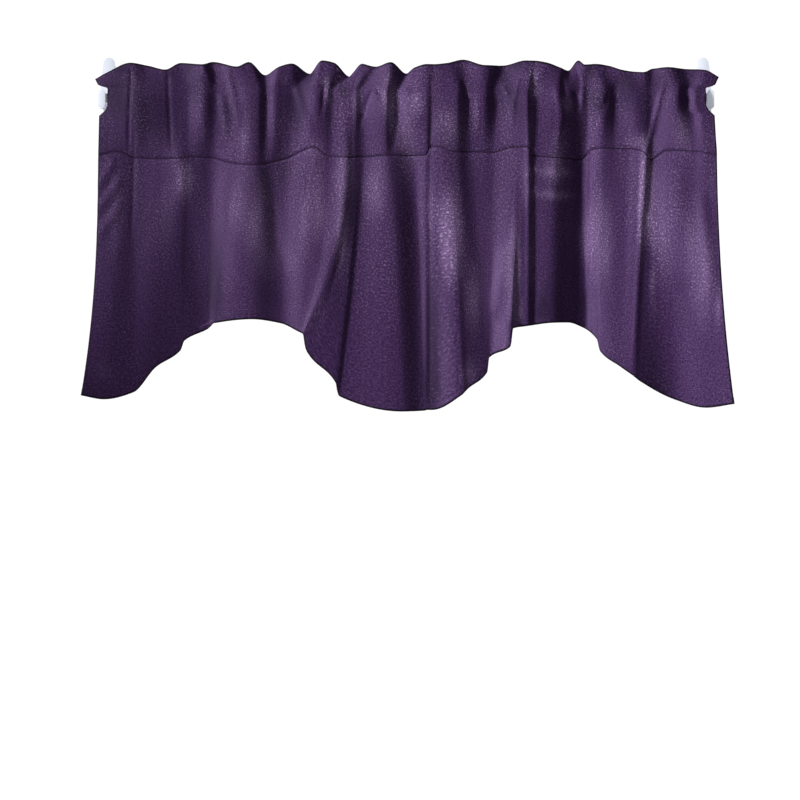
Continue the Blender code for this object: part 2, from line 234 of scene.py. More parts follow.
# Folds of the skirt, one row for each ridge or valley line from the left side to the right, in
# millimetres: its place across and how far it stands out at the seam and at the hem, the height
# of the seam and of the hem there, and how late the line swings from one place to the other, where
# 1 is a straight line.
FOLD_NAMES = ("seam_x", "hem_x", "seam_out", "hem_out", "seam_z", "hem_z", "bend")
FOLDS = (
    (-7, -24, 7, 38, -77, -389, 2.4),
    (20, 4, 5, 27, -71, -394, 1.8),
    (43, 40, 1, 12, -79, -385, 1.6),
    (74, 68, 3, 1, -80, -352, 1),
    (100, 99, 7, -9, -80, -330, 0.8),
    (114, 104, 4, -10, -78, -317, 0.8),
    (139, 135, -2, -15, -78, -301, 1.2),
    (166, 143, 5, -12, -86, -294, 1.2),
    (195, 194, 11, -3, -89, -289, 1.5),
    (235, 231, 1, -11, -81, -294, 1.4),
    (276, 254, 10, -4, -66, -305, 1.8),
    (295, 258, 10.5, -2, -77, -307, 2),
    (316, 261, 14, 0, -79, -309, 2.2),
    (325, 265, 9.5, -2, -79, -330, 2),
    (333, 304, 6.5, -5, -78, -373, 1.4),
    (341, 308, 4, -9, -78, -390, 1.2),
    (376, 390, 9, 0, -76, -410, 1),
    (404, 419, -1, -9, -76, -409, 0.6),
    (422, 424, 4, -9, -76, -408, 0.9),
    (427, 430, 6, -8, -65, -408, 0.8),
    (439, 469, 10, 5, -66, -388, 0.45),
    (461, 477, 7, 2, -72, -380, 0.8),
    (482, 502, 1, -4, -71, -359, 1),
    (507, 505, 3, -5, -72, -339, 1),
    (538, 532, 9, 9, -66, -325, 1.5),
    (547, 536, 11, 2, -66, -301, 1.5),
    (555, 555, 13, 2, -66, -298, 1),
    (560, 561, 9, -2, -76, -297, 1),
    (585, 584, 10, 1, -79, -294, 1),
    (611, 610, 0, -12, -80, -293, 1),
    (626, 629, -10, -21, -79, -299, 1),
    (639, 647, 2, -13, -68, -315, 1),
    (653, 651, 8, -9, -67, -331, 1),
    (685, 676, 11, 0, -68, -351, 1),
    (704, 694, 17.5, 4, -72, -364, 1),
    (715, 702, 13.5, 1, -82, -370, 1.2),
    (736, 749, 19, -14, -71, -394, 2),
    (772, 788, 30, 4, -73, -405, 2),
    (798, 822, 37, 22, -78, -400, 2),
)

# Creases pressed or pulled into the front, one row each, in millimetres: where it starts and ends
# across and up, its half width, and its height, below 0 for a trough.
CREASE_NAMES = ("top_x", "top_z", "foot_x", "foot_z", "wide", "high")
CREASES = (
    (42, -4, 36, -200, 3, -0.8),
    (426, -56, 427, -409, 3, -1),
    (560, 48, 555, 7, 3, 1.4),
    (555, 7, 555, -317, 3, 1.6),
    (633, 9, 633, -330, 3, -1.3),
    (734, 22, 709, -69, 3, 2.2),
    (709, -56, 704, -154, 3.5, 2.2),
    (704, -121, 692, -367, 3, 1.2),
    (554, -93, 595, -95, 4, 2),
    (554, -121, 595, -123, 5, 2),
    (18, -80, -9, -121, 5, 2.6),
    (25, -106, -9, -150, 5, 2.4),
    (25, -141, -9, -184, 5, 2.2),
    (529, -193, 511, -289, 9, 2.4),
    (99, -69, 101, -142, 8, 1.6),
    (354, 14, 334, -35, 3, -1.8),
    (354, 14, 372, -13, 3, -1.6),
    (376, 17, 377, -80, 6, -2.2),
    (290, 20, 285, -25, 2.5, -1.6),
    (295, 22, 292, -9, 3, 1.2),
    (469, 22, 477, -9, 3, -1.4),
    (477, 1, 471, -48, 3.5, -1.6),
    (521, 17, 535, -13, 2.5, 1.5),
    (543, 22, 535, -13, 2.5, 1.2),
    (535, -4, 535, -38, 2.5, 1.2),
    (590, 14, 599, -33, 4, 2),
    (599, -20, 592, -64, 4, 1.8),
    (242, 46, 273, -56, 4, 1.5),
    (161, 46, 180, -40, 4, 1.5),
    (777, -121, 794, -265, 9, 2.8),
    (743, -89, 764, -252, 20, 3),
    (639, -82, 639, -265, 12, 2),
    (394, 9, 407, -43, 12, 2.4),
    (111, -141, 132, -317, 18, -2.2),
    (218, -76, 226, -213, 9, -2.2),
    (163, -95, 174, -265, 18, 1.8),
    (255, -69, 252, -226, 14, 1.6),
    (620, 43, 628, 22, 2.5, 1.6),
    (628, 22, 625, -17, 2.5, 1.6),
    (616, 8, 619, -20, 4, -2.2),
    (599, 27, 603, 0, 3, -1.8),
    (646, 0, 653, -23, 3, -1.5),
    (657, 0, 653, -21, 3, -1.5),
    (38, 44, 33, -76, 2.5, -1.6),
    (84, 45, 89, -72, 2.5, -1.3),
    (129, 43, 141, 18, 3, 1.6),
    (154, 5, 163, -47, 4, 1.8),
)

# Patches of painted sheen on the satin, or of painted shade where the amount is below 0: the middle
# of the patch across and up, and its half width and half height, in millimetres.
PAINTED_SHEEN_NAMES = ("x", "z", "wide", "tall", "amount")
PAINTED_SHEEN_AND_SHADE = (
    (-7, -383, 20, 16, -0.4),
    (3, -370, 22, 30, 0.4),
    (18, -154, 14, 70, 0.45),
    (22, 7, 30, 26, -1.2),
    (25, -17, 20, 16, -0.6),
    (26, 37, 9, 8, -1.1),
    (48, -134, 10, 72, -0.6),
    (53, -30, 8, 30, -0.6),
    (81, -37, 40, 32, -0.7),
    (87, -154, 16, 45, 0.4),
    (87, 33, 6, 9, -1.1),
    (106, -106, 9, 26, 1.2),
    (111, 38, 8, 10, -1.2),
    (120, 9, 13, 26, -1.2),
    (131, -43, 6, 24, 0.5),
    (140, -265, 13, 30, -0.5),
    (144, -232, 13, 75, -1.3),
    (163, -23, 16, 40, -1.1),
    (168, -154, 8, 40, 0.5),
    (179, -134, 8, 40, 0.4),
    (185, -50, 10, 30, 0.7),
    (208, -167, 24, 62, 0.8),
    (218, 0, 8, 20, -0.8),
    (235, -265, 14, 24, -0.6),
    (238, -98, 12, 34, -0.9),
    (239, 22, 8, 10, 0.8),
    (244, -215, 14, 24, 0.4),
    (255, -43, 10, 24, -0.5),
    (255, -20, 8, 20, -0.6),
    (257, 3, 16, 36, -1.3),
    (261, -167, 8, 40, 0.5),
    (270, 28, 8, 9, -1.5),
    (277, -154, 17, 75, 0.75),
    (277, -69, 14, 16, 0.4),
    (281, -206, 8, 40, -0.5),
    (283, -265, 10, 52, 0.3),
    (290, 20, 9, 16, 0.7),
    (295, 0, 4, 14, 1.1),
    (312, -180, 9, 50, 0.9),
    (312, 12, 8, 16, -0.9),
    (316, -102, 11, 38, 0.9),
    (316, 3, 8, 24, -0.6),
    (332, -7, 8, 26, 0.8),
    (355, -115, 18, 45, 0.8),
    (370, -10, 8, 20, 0.6),
    (375, 9, 10, 26, 0.9),
    (377, -30, 6, 30, 0.8),
    (397, -63, 13, 50, 0.9),
    (410, -10, 9, 16, 0.8),
    (416, -204, 7, 50, -0.8),
    (427, -370, 10, 30, -0.6),
    (427, -148, 6, 40, 0.6),
    (430, -380, 10, 20, -0.9),
    (430, -317, 11, 100, -1.5),
    (449, -40, 24, 32, 0.7),
    (453, -215, 12, 34, 0.5),
    (453, -167, 18, 60, 1.0),
    (479, -363, 12, 22, 0.8),
    (484, -265, 11, 48, 0.9),
    (484, -121, 12, 40, -0.5),
    (487, -17, 4, 26, 0.7),
    (508, -141, 16, 70, -0.6),
    (521, 30, 7, 9, -1.2),
    (528, 7, 18, 34, -1.3),
    (534, -232, 12, 62, 1.0),
    (538, -210, 5, 50, 0.9),
    (542, -281, 8, 18, 0.9),
    (542, -17, 9, 20, -0.6),
    (542, 41, 9, 9, -1.5),
    (555, -108, 8, 40, 0.6),
    (558, -43, 4, 26, 0.6),
    (560, -200, 5, 60, 0.7),
    (560, 20, 10, 26, 0.9),
    (571, -281, 14, 14, -0.6),
    (573, -276, 6, 16, -0.8),
    (580, -259, 10, 42, -0.9),
    (590, -128, 26, 6, 0.9),
    (590, -98, 26, 5, 0.7),
    (590, -89, 14, 30, 0.8),
    (599, -272, 9, 30, -0.4),
    (599, -56, 10, 14, 0.5),
    (605, -10, 11, 12, 1.0),
    (628, -187, 8, 40, 0.5),
    (633, -265, 7, 30, -0.8),
    (635, 35, 7, 9, -1.3),
    (636, -95, 10, 36, -0.3),
    (639, -1, 12, 30, -1.3),
    (648, -7, 6, 14, -0.9),
    (649, -174, 17, 62, 0.7),
    (657, -206, 10, 50, 0.4),
    (682, 5, 14, 30, -1.1),
    (686, 12, 9, 18, -0.9),
    (701, -59, 24, 10, 0.5),
    (702, -174, 5, 46, 0.9),
    (706, -119, 6, 60, 1.5),
    (710, -110, 5, 40, 1.0),
    (714, -215, 8, 20, -0.6),
    (714, -121, 10, 40, 0.8),
    (717, -219, 5, 70, 0.7),
    (727, 20, 14, 22, -1.0),
    (733, -180, 16, 62, 0.6),
    (756, -46, 12, 30, 0.8),
    (767, -200, 12, 50, 0.8),
    (772, 31, 8, 8, -1.2),
    (774, 7, 8, 20, -0.6),
    (782, -239, 13, 60, 1.0),
    (789, -370, 26, 30, 0.15),
    (793, -82, 10, 40, -0.5),
    (800, -278, 5, 30, 0.6),
)


# A Mix node's colour sockets by their numbers, because several of its sockets share a name
MIX_FACTOR = 0
MIX_FIRST = 6
MIX_SECOND = 7
MIX_RESULT = 2


class Field:
    """A socket's value, with the arithmetic of shader nodes."""

    def __init__(self, finish, socket):
        self.finish = finish
        self.socket = socket

    def maths(self, operation, *values):
        return self.finish.node("ShaderNodeMath", {"operation": operation}, dict(enumerate(values)))

    def __add__(self, other):
        return self.maths("ADD", self, other)

    __radd__ = __add__

    def __sub__(self, other):
        return self.maths("SUBTRACT", self, other)

    def __rsub__(self, other):
        return self.maths("SUBTRACT", other, self)

    def __mul__(self, other):
        return self.maths("MULTIPLY", self, other)

    __rmul__ = __mul__

    def __abs__(self):
        return self.maths("ABSOLUTE", self)

    def above(self, low, high):
        """0 where the value is under low, 1 where it is over high."""
        settings = {"interpolation_type": "SMOOTHSTEP", "clamp": True}
        values = {"Value": self, "From Min": low, "From Max": high}
        return self.finish.node("ShaderNodeMapRange", settings, values)


class Finish:
    """A material that is built up node by node."""

    def __init__(self, name):
        self.material = bpy.data.materials.new(name)
        self.material.use_nodes = True
        self.tree = self.material.node_tree
        self.shader = self.tree.nodes["Principled BSDF"]

    def node(self, kind, settings=None, sockets=None, output=0):
        """A new node with its settings, then the values or links of its sockets."""
        made = self.tree.nodes.new(kind)
        for name, value in (settings or {}).items():
            setattr(made, name, value)
        for name, value in (sockets or {}).items():
            self.feed(made.inputs[name], value)
        return Field(self, made.outputs[output])

    def feed(self, socket, value):
        if isinstance(value, Field):
            self.tree.links.new(value.socket, socket)
        else:
            socket.default_value = value

    def surface(self, sockets):
        """Set or link the shader's own sockets."""
        for name, value in sockets.items():
            self.feed(self.shader.inputs[name], value)

    def coordinates(self, kind="Object", scale=(1, 1, 1)):
        place = self.node("ShaderNodeTexCoord", output=kind)
        return self.node("ShaderNodeMapping", {}, {"Vector": place, "Scale": scale})

    def noise(self, where, scale, detail=2.0, roughness=0.5, distortion=0.0):
        sockets = {
            "Vector": where,
            "Scale": scale,
            "Detail": detail,
            "Roughness": roughness,
            "Distortion": distortion,
        }
        return self.node("ShaderNodeTexNoise", {}, sockets)

    def blend(self, factor, first, second):
        """A mix of two colours."""
        sockets = {MIX_FACTOR: factor, MIX_FIRST: first, MIX_SECOND: second}
        return self.node("ShaderNodeMix", {"data_type": "RGBA"}, sockets, MIX_RESULT)

    def parts(self, vector):
        """The first two parts of a vector."""
        first = self.node("ShaderNodeSeparateXYZ", {}, {"Vector": vector}, "X")
        return first, Field(self, first.socket.node.outputs["Y"])

    def bump(self, height, distance, strength=1.0):
        sockets = {"Height": height, "Distance": distance, "Strength": strength}
        return self.node("ShaderNodeBump", {}, sockets)


def linear(red, green, blue):
    """A colour given in the photo's 0 to 255 values, as linear RGBA."""
    values = []
    for value in (red, green, blue):
        value /= 255
        values.append(value / 12.92 if value < 0.04045 else ((value + 0.055) / 1.055) ** 2.4)
    return (*values, 1.0)


SATIN_DEEP = linear(43, 22, 58)
SATIN_MIDDLE = linear(82, 54, 102)
# Colours of the painted glints, the painted sheen, the painted shade in patches and the painted
# shade along the edges and seam
SATIN_PAINTED_GLINT = linear(206, 184, 217)
SATIN_PAINTED_SHEEN = linear(142, 114, 162)
SATIN_PAINTED_SHADE = linear(34, 15, 50)
SATIN_PAINTED_EDGE_SHADE = linear(14, 7, 20)
SATIN_GLOSS = linear(212, 182, 236)
SATIN_FUZZ = linear(170, 130, 195)
THREAD_COLOUR = linear(58, 40, 74)
PLASTIC_LIGHT = linear(232, 235, 245)
PLASTIC_DARK = linear(222, 226, 238)
# The hooks' painted glow, standing in for light bounced onto them
PAINTED_BOUNCE_GLOW = linear(222, 228, 245)
PAINT_LIGHT = linear(230, 231, 232)
PAINT_DARK = linear(221, 221, 220)
STAGE_LIGHT = linear(244, 244, 245)
STAGE_DARK = linear(240, 240, 241)
WHITE = (1, 1, 1, 1)


def satin(width, lines):
    """Satin: a mottled grain, fine slubs across, painted glints, patches of painted sheen and
    shade, and painted shade on its edges and seam.
    """
    finish = Finish("satin")
    cloth = finish.coordinates("UV")
    over, up = finish.parts(cloth)
    slubs = finish.noise(finish.coordinates("UV", SLUB_STRETCH), SLUBS, detail=2.0, roughness=0.6)
    sheen_streaks = finish.noise(
        finish.coordinates("UV", STREAK_STRETCH), STREAKS, detail=3.0, roughness=0.6, distortion=0.3
    )
    grain = finish.noise(cloth, GRAINS, detail=3.0, roughness=0.65, distortion=0.2)
    crinkle = finish.noise(cloth, CRINKLES, detail=4.0, roughness=0.7, distortion=0.4)
    grainy = 0.45 + up.above(*SMOOTH_HEM) * 0.55

    # Patches of painted sheen and painted shade, broken up by the grain and the sheen streaks; the
    # painted shade patches are also rougher
    painted_sheen_and_shade = finish.node("ShaderNodeAttribute", {"attribute_name": "painted_sheen_and_shade"}, output="Fac")
    mottled = 0.6 + grain.above(0.4, 0.62) * 0.6
    painted_sheen = painted_sheen_and_shade.above(0.0, 1.4) * mottled * (0.55 + sheen_streaks.above(0.3, 0.7) * 0.75)
    dull_and_painted_shade = 1 - painted_sheen_and_shade.above(-1.6, 0.0)

    # The cloth's colour, from its threads up to the painted glints and the painted shade on the
    # edges and seam
    woven = slubs.above(0.35, 0.65) * 0.3 + grain.above(0.38, 0.62) * 0.7
    tone = finish.blend(woven, SATIN_DEEP, SATIN_MIDDLE)
    tone = finish.blend(dull_and_painted_shade * 0.95, tone, SATIN_PAINTED_SHADE)
    tone = finish.blend(painted_sheen * 0.75, tone, SATIN_PAINTED_SHEEN)
    # Painted glints: light specks in the base colour, most in the painted sheen; the same amount
    # also deepens the crinkles
    painted_glint_and_crinkle_amount = (sheen_streaks.above(0.42, 0.7) * 0.25 + painted_sheen * 0.95 + 0.06) * grainy
    painted_glints = grain.above(0.53, 0.7) * painted_glint_and_crinkle_amount
    tone = finish.blend(painted_glints, tone, SATIN_PAINTED_GLINT)
    # Painted shade along the side edges, the hem's edge, the lower seam and the top edge
    inside = clear_of_edges(over, up, width, lines)
    height = crinkle * (0.6 + painted_glint_and_crinkle_amount * 0.6) * grainy + slubs * 0.25
    finish.surface({
        "Base Color": finish.blend(inside, SATIN_PAINTED_EDGE_SHADE, tone),
        "Roughness": 0.62 - inside * 0.15 + dull_and_painted_shade * 0.12 - painted_glints * 0.2,
        "Normal": finish.bump(height, SATIN_RELIEF),
        "Specular IOR Level": 0.45,
        "Specular Tint": SATIN_GLOSS,
        "Sheen Weight": 0.08,
        "Sheen Roughness": 0.4,
        "Sheen Tint": SATIN_FUZZ,
    })
    return finish.material


def clear_of_edges(over, up, width, lines):
    """0 on the cloth's side edges and on the lines across it, where shade is painted, 1 a little
    away from them.
    """
    clear = (width / 2 - abs(over - width / 2)).above(SIDE_EDGE, 2 * SIDE_EDGE)
    for line, half in lines:
        clear = clear * abs(up - line).above(half, 2 * half)
    return clear


def thread():
    """Matt purple sewing thread, a little lighter and darker along its twist."""
    finish = Finish("thread")
    twist = finish.noise(finish.coordinates(), THREAD_TWISTS)
    finish.surface({
        "Base Color": finish.blend(twist, THREAD_COLOUR, SATIN_MIDDLE),
        "Roughness": 0.5 + twist * 0.2,
    })
    return finish.material


def white_plastic():
    """Cool white moulded plastic, with a faint painted glow that stands in for light bounced onto
    it.
    """
    finish = Finish("white_plastic")
    place = finish.coordinates()
    cloud = finish.noise(place, PLASTIC_CLOUDS, detail=3.0)
    grain = finish.noise(place, PLASTIC_GRAINS)
    finish.surface({
        "Base Color": finish.blend(cloud, PLASTIC_LIGHT, PLASTIC_DARK),
        "Roughness": 0.28 + cloud * 0.14,
        "Normal": finish.bump(grain, PLASTIC_RELIEF, 0.3),
        # Painted glow that stands in for light bounced onto the hooks
        "Emission Color": PAINTED_BOUNCE_GLOW,
        "Emission Strength": PAINTED_HOOK_GLOW,
    })
    return finish.material


def white_paint():
    """White satin paint on the rod."""
    finish = Finish("white_paint")
    place = finish.coordinates()
    cloud = finish.noise(place, PAINT_CLOUDS, detail=3.0)
    peel = finish.noise(place, PAINT_GRAINS)
    finish.surface({
        "Base Color": finish.blend(cloud, PAINT_LIGHT, PAINT_DARK),
        "Roughness": 0.32 + cloud * 0.12,
        "Normal": finish.bump(peel, PAINT_RELIEF, 0.4),
    })
    return finish.material


def stage_white():
    finish = Finish("stage_white")
    cloud = finish.noise(finish.coordinates(), STAGE_CLOUDS)
    finish.surface({
        "Base Color": finish.blend(cloud, STAGE_LIGHT, STAGE_DARK),
        "Roughness": 0.9 - cloud * 0.05,
        "Emission Color": WHITE,
        "Emission Strength": FLOOR_GLOW,
    })
    return finish.material


class Lines:
    """The ridge and valley lines of a table, read at any place on one or between two of them."""

    def __init__(self, names, rows):
        table = np.array(rows, dtype=float).T
        self.column = {}
        for name, values in zip(names, table):
            self.column[name] = values if name == "bend" else values * MM
        self.last = len(rows) - 1

    def along(self, name, at):
        return np.interp(at, np.arange(self.last + 1), self.column[name])

    def smooth(self, name, across, at):
        """A value as a soft curve across the cloth, level on each ridge and in each valley."""
        return soft_curve(self.column[across], self.column[name], self.along(across, at))


def soft_curve(knots, values, where):
    """A smooth curve through the knots that never swings past one of them."""
    rise = np.diff(values) / np.diff(knots)
    before, after = rise[:-1], rise[1:]
    climbing = before * after > 0
    total = np.where(climbing, before + after, 1)
    inner = np.where(climbing, 2 * before * after / total, 0)
    slope = np.concatenate([rise[:1], inner, rise[-1:]])
    left = np.clip(np.searchsorted(knots, where, side="right") - 1, 0, len(knots) - 2)
    span = knots[left + 1] - knots[left]
    part = (where - knots[left]) / span
    start = (1 + 2 * part) * (1 - part) ** 2 * values[left]
    start_slope = part * (1 - part) ** 2 * span * slope[left]
    end = part**2 * (3 - 2 * part) * values[left + 1]
    end_slope = part**2 * (part - 1) * span * slope[left + 1]
    return start + start_slope + end + end_slope


def soft_step(value):
    """0 up to 0, 1 from 1 on, and a smooth rise between them."""
    value = np.clip(value, 0, 1)
    return value * value * (3 - 2 * value)


def reached(steps):
    """How far along each point lies, from the lengths of the steps between the points."""
    return np.concatenate([[0], np.cumsum(steps)])


class Hanging:
    """Where each point of the cut cloth hangs, a whole row across at a time.

    A row is an array with, for each column of the cloth, the place across, the distance out from
    the rod's axis towards the front, and the height.
    """

    def __init__(self, columns):
        self.gathers = Lines(GATHER_NAMES, GATHERS)
        self.folds = Lines(FOLD_NAMES, FOLDS)
        self.wrap = ROD_RADIUS + ROD_TO_CLOTH + SOLID_THICK / 2
        self.layer = (SOLID_THICK + LAYER_GAP) / 2
        places = np.linspace(0, self.folds.last, self.folds.last * SAMPLES_A_FLANK + 1)
        self.follow(places)
        levels = [self.front(1), self.front(0), self.front(-1), self.heading(1, 0)]
        steps = np.mean([np.hypot(*np.diff(row[:, :2], axis=0).T) for row in levels], axis=0)
        covered = reached(steps)
        self.width = covered[-1]
        self.follow(np.interp(np.linspace(0, self.width, columns + 1), covered, places))

    def follow(self, at):
        """Take one column of the cloth at each of these places along the fold lines."""
        self.seam_x = self.folds.along("seam_x", at)
        self.hem_x = self.folds.along("hem_x", at)
        self.seam_out = self.folds.smooth("seam_out", "seam_x", at)
        self.hem_out = self.folds.smooth("hem_out", "hem_x", at)
        self.seam_z = self.folds.smooth("seam_z", "seam_x", at)
        self.hem_z = self.folds.smooth("hem_z", "hem_x", at)
        self.bend = self.folds.smooth("bend", "seam_x", at)
        part = (self.seam_x - self.seam_x[0]) / (self.seam_x[-1] - self.seam_x[0])
        rod_lines = self.gathers.column["rod_x"]
        self.rod_x = rod_lines[0] + (rod_lines[-1] - rod_lines[0]) * part
        line = np.interp(self.rod_x, rod_lines, np.arange(self.gathers.last + 1))
        self.rod_out = self.gathers.smooth("rod_out", "rod_x", line)
        self.top_x = self.gathers.along("top_x", line)
        self.top_out = TOP_LEAN + self.gathers.smooth("top_out", "top_x", line)
        self.top_z = self.gathers.smooth("top_z", "top_x", line)

    def front(self, drop):
        """The front layer: drop runs from -1 at the rod to 0 at the seam and 1 at the hem."""
        below = np.maximum(drop, 0)
        gathered = 1 - soft_step((drop + 1) / GATHER_REACH)
        swung = below**self.bend
        fold_x = self.seam_x + (self.hem_x - self.seam_x) * swung
        fold_out = self.seam_out + (self.hem_out - self.seam_out) * swung
        across = gathered * self.rod_x + (1 - gathered) * fold_x
        out = gathered * (self.wrap + self.rod_out) + (1 - gathered) * fold_out
        height = self.seam_z * np.minimum(1 + drop, 1) + (self.hem_z - self.seam_z) * below
        return np.stack([across, out, height], axis=1)

    def above_hem(self, distance):
        """The drop of a line that runs beside the hem."""
        return 1 - distance / (self.seam_z - self.hem_z)

    def from_seam(self, distance):
        """The drop of a line that runs beside the seam, below it where distance is above 0."""
        return distance / (self.seam_z - self.hem_z if distance > 0 else -self.seam_z)

    @staticmethod
    def beside(row, offset):
        """The same row moved square to its folds, towards the front where offset is above 0."""
        run = np.gradient(row[:, 0])
        rise = np.gradient(row[:, 1])
        length = np.hypot(run, rise)
        moved = row.copy()
        moved[:, 0] -= offset * rise / length
        moved[:, 1] += offset * run / length
        return moved

    def over_rod(self, turn):
        """The back layer on the rod: turn runs from 0 over its top to 1 behind it."""
        angle = turn * math.pi / 2
        slack = BACK_SHARE * (self.rod_out.max() - self.rod_out)
        out = -(self.wrap * math.sin(angle) + slack * turn)
        height = np.full_like(out, self.wrap * math.cos(angle))
        return np.stack([self.rod_x, out, height], axis=1)

    def heading(self, part, side):
        """The two layers above the rod: part runs from 0 at the upper seam to 1 at the top."""
        pinch = PINCH_LEAN + PINCH_SHARE * self.rod_out
        across = self.rod_x + (self.top_x - self.rod_x) * part
        out = pinch + (self.top_out - pinch) * part
        height = UPPER_SEAM + (self.top_z - UPPER_SEAM) * part
        return self.beside(np.stack([across, out, height], axis=1), side * self.layer)

    def back(self, drop):
        """The back layer of the pocket: drop runs from -1 at the rod to 0 at the seam."""
        behind = self.over_rod(1)
        meets = self.beside(self.front(0), -2 * self.layer)
        row = behind + (meets - behind) * soft_step(1 + drop)
        row[:, 2] = self.seam_z * (1 + drop)
        return row

    @staticmethod
    def notched(row):
        """The same row drawn in at both side edges where it passes the hooks."""
        beyond = np.abs(row[:, 2] - NOTCH_MIDDLE) - NOTCH_HALF
        pull = NOTCH_DEEP * (1 - soft_step(beyond / NOTCH_SLOPE))
        left = 1 - soft_step((row[:, 0] - row[0, 0]) / NOTCH_REACH)
        right = 1 - soft_step((row[-1, 0] - row[:, 0]) / NOTCH_REACH)
        moved = row.copy()
        moved[:, 0] += pull * (left - right)
        return moved

    def rows(self):
        """From the hem's turn up the front, over the top edge and down the back to the seam.

        It notes which rows are the hem's edge, the hem's stitches, the lower seam and the top edge.
        """
        found = []
        for rise in reversed(HEM_RISES):
            found.append(self.beside(self.front(self.above_hem(rise)), -TURN_GAP))
        edge = self.beside(self.front(1), -TURN_GAP / 2)
        edge[:, 2] -= TURN_GAP / 2
        self.hem_edge = len(found)
        found.append(edge)
        found += [self.front(self.above_hem(rise)) for rise in HEM_RISES]
        self.hem_line = len(found) - 1
        found += [self.front(drop) for drop in SKIRT_DROPS]
        self.seam_line = len(found) + SEAM_DISTANCES.index(0)
        found += [self.front(self.from_seam(distance * MM)) for distance in SEAM_DISTANCES]
        found += [self.front(drop) for drop in POCKET_DROPS]
        pocket_end = [self.front(LEAD_DROP), self.front(-1)]
        heading_start = [self.heading(0, 1), self.heading(LEAD_PART, 1)]
        found += between_rows([*pocket_end, *heading_start], FRONT_STEPS)
        found += [self.heading(part, 1) for part in np.linspace(0, TURN_HEIGHT, HEADING_ROWS)]
        self.top_line = len(found) + TOP_TURNS.index(90)
        for turn in TOP_TURNS:
            angle = math.radians(turn)
            risen = TURN_HEIGHT + (1 - TURN_HEIGHT) * math.sin(angle)
            found.append(self.heading(risen, math.cos(angle)))
        found += [self.heading(part, -1) for part in np.linspace(TURN_HEIGHT, 0, HEADING_BACK_ROWS)]
        heading_end = [self.heading(LEAD_PART, -1), self.heading(0, -1)]
        crown = [self.over_rod(turn) for turn in (0, 0.5)]
        pocket_start = [self.back(-1), self.back(LEAD_DROP)]
        found += between_rows([*heading_end, *crown, *pocket_start], BEHIND_STEPS)[1:]
        found += [self.back(drop) for drop in np.linspace(-1, 0, POCKET_BACK_ROWS)]
        return [self.notched(row) for row in found]


def between_rows(keys, steps):
    """Rows on a smooth curve through the keys, from the second to just before the last but one."""
    found = []
    for start in range(1, len(keys) - 2):
        before, near, far, after = keys[start - 1 : start + 3]
        for step in range(steps):
            part = step / steps
            bend = (
                2 * near
                + (far - before) * part
                + (2 * before - 5 * near + 4 * far - after) * part**2
                + (3 * near - before - 3 * far + after) * part**3
            )
            found.append(bend / 2)
    return found


def pressed(points, seam_z):
    """The sheet with its lower seam and its creases pressed in, and the normals it had before."""
    along = np.gradient(points, axis=0)
    over = np.gradient(points, axis=1)
    normal = np.cross(along, over)
    normal /= np.linalg.norm(normal, axis=2, keepdims=True)
    facing = soft_step(normal[..., 1] * FACING_FADE)
    lift = np.zeros(points.shape[:2])
    for row in CREASES:
        crease = {name: value * MM for name, value in zip(CREASE_NAMES, row)}
        start = np.array([crease["top_x"], crease["top_z"]])
        run = np.array([crease["foot_x"], crease["foot_z"]]) - start
        flat = points[..., (0, 2)] - start
        part = np.clip((flat @ run) / (run @ run), 0, 1)
        away = np.linalg.norm(flat - part[..., None] * run, axis=2)
        fade = 1 - (2 * part - 1) ** 4
        lift += crease["high"] * np.exp(-((away / crease["wide"]) ** 2)) * fade
    lift -= SEAM_DEEP * np.exp(-(((points[..., 2] - seam_z) / SEAM_WIDE) ** 2))
    return points + normal * (lift * facing)[..., None], normal


def painted_sheen_and_shade_at(points, normals):
    """How much painted sheen each point of the front gets, above 0, or painted shade, below 0."""
    painted_sheen_and_shade = np.zeros(points.shape[:2])
    for row in PAINTED_SHEEN_AND_SHADE:
        patch = dict(zip(PAINTED_SHEEN_NAMES, row))
        aside = (points[..., 0] - patch["x"] * MM) / (patch["wide"] * MM)
        above = (points[..., 2] - patch["z"] * MM) / (patch["tall"] * MM)
        painted_sheen_and_shade += patch["amount"] * np.exp(-(aside**2) - above**2)
    return painted_sheen_and_shade * soft_step(normals[..., 1] * FACING_FADE)


def in_frame(point):
    """A point of a row, given across, out and up, on the frame's own axes."""
    across, out, height = point
    return Vector((across, -ROD_OUT - out, height))


def smooth_mesh(name, solid):
    mesh = bpy.data.meshes.new(name)
    solid.to_mesh(mesh)
    solid.free()
    mesh.shade_smooth()
    return mesh


def put(name, mesh, finish):
    """A finished piece on the part's one body."""
    item = bpy.data.objects.new(name, mesh)
    mesh.materials.clear()
    mesh.materials.append(finish)
    bpy.context.scene.collection.objects.link(item)
    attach(item, "root")
    return item


def hung_grid(points, width, down, painted_sheen_and_shade):
    """A flat grid whose points are moved to where they hang, mapped by the cut cloth's own size."""
    last = len(points) - 1
    grid = bmesh.new()
    bmesh.ops.create_grid(grid, x_segments=SHEET_COLUMNS, y_segments=last, size=1)
    place_of = {}
    for vertex in grid.verts:
        column = round((vertex.co.x + 1) / 2 * SHEET_COLUMNS)
        row = round((vertex.co.y + 1) / 2 * last)
        place_of[vertex] = (column, row)
        vertex.co = in_frame(points[row, column])
    layer = grid.loops.layers.uv.verify()
    for face in grid.faces:
        for loop in face.loops:
            column, row = place_of[loop.vert]
            loop[layer].uv = (column / SHEET_COLUMNS * width, down[row])
    amounts = [painted_sheen_and_shade[row, column] for column, row in place_of.values()]
    mesh = smooth_mesh("valance_sheet", grid)
    # The painted sheen and shade amounts, one for each point
    mesh.attributes.new("painted_sheen_and_shade", "FLOAT", "POINT").data.foreach_set("value", amounts)
    return mesh


